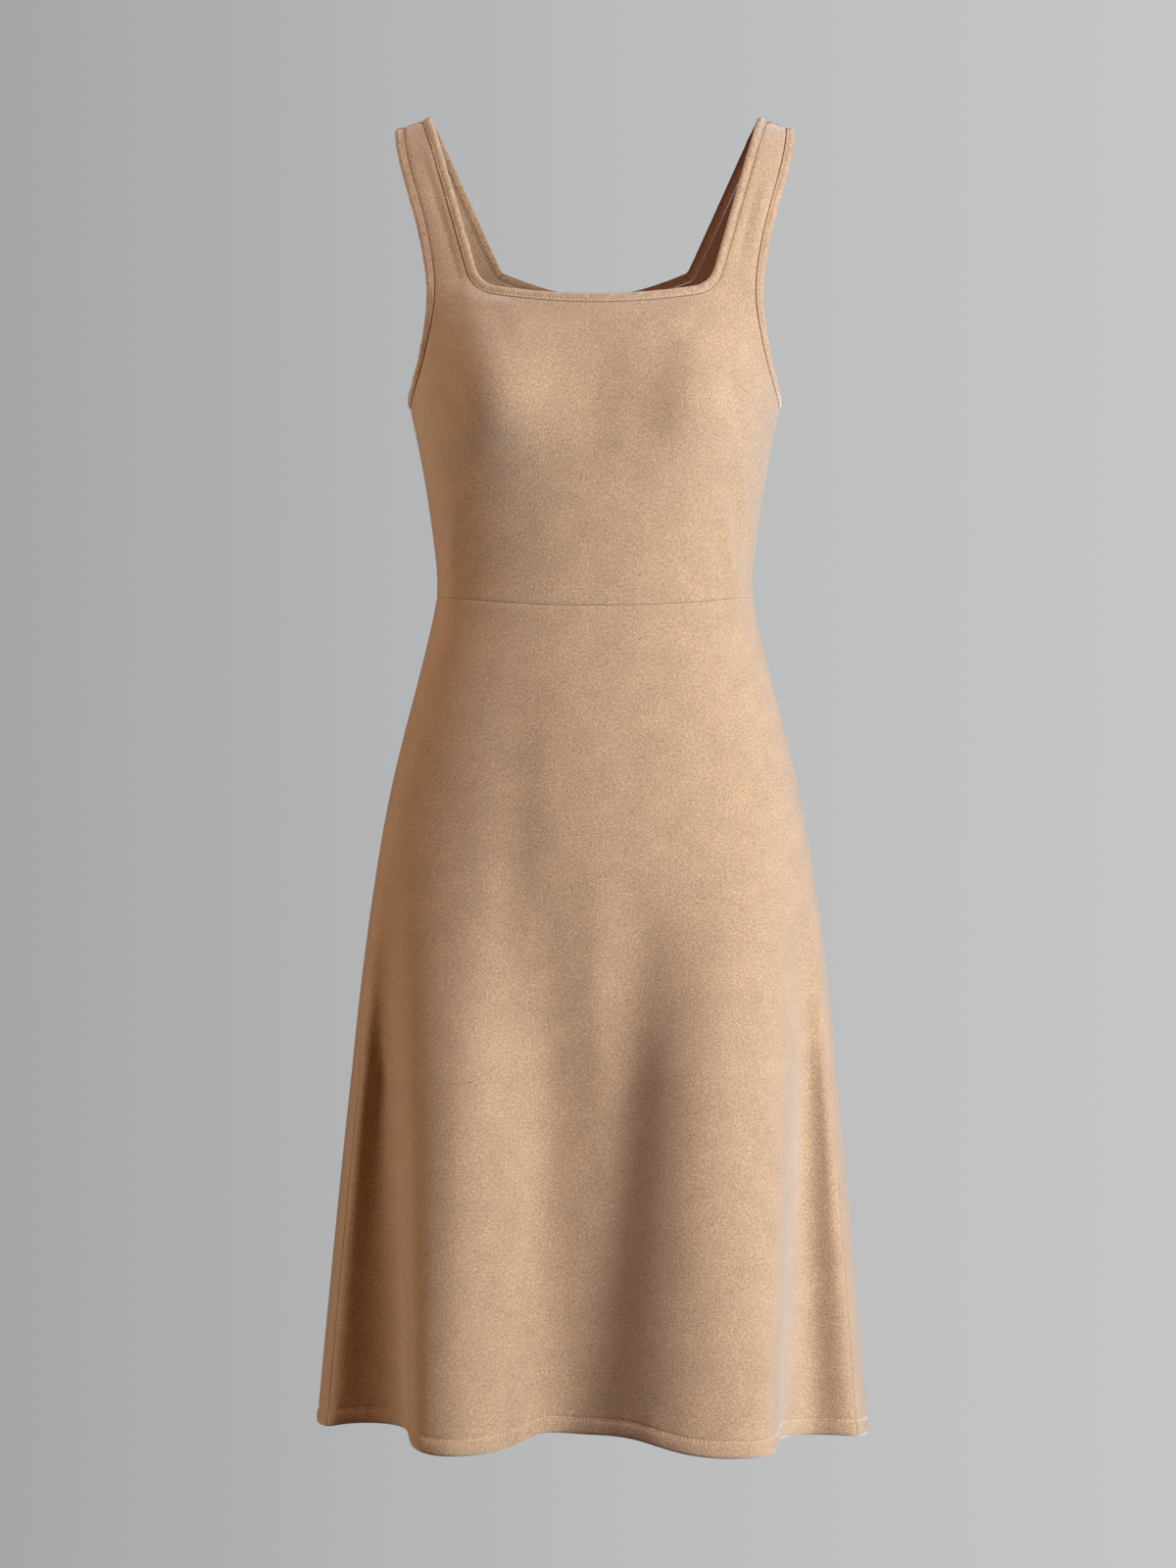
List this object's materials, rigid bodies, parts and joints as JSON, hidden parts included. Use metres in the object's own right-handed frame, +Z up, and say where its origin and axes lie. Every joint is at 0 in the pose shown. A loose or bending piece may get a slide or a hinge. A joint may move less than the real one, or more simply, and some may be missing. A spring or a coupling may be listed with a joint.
{
  "type": "pinafore dress",
  "caption": "Sleeveless knee-length pinafore dress: fitted bodice with a square neck, wide straps, rolled edge bands, a waist seam and an A-line skirt with a turned hem.",
  "frame": {"origin": "midway between the tops of the two shoulder seams, where the dress is held up", "axes": "+Z up, -Y to the front of the dress, +X to the dress's own left"},
  "size_m": [0.4531, 0.3279, 1.0807],
  "materials": {
    "cloth": "brushed camel wool, matt with a short nap",
    "band": "the same brushed camel wool, rolled over the edge"
  },
  "bodies": {
    "root": {"bodice_front": "cloth", "bodice_back": "cloth", "skirt_front": "cloth", "skirt_back": "cloth", "neck_band_front": "band", "neck_band_back": "band", "armhole_band_left": "band", "armhole_band_right": "band", "hem_front": "band", "hem_back": "band"}
  },
  "joints": []
}
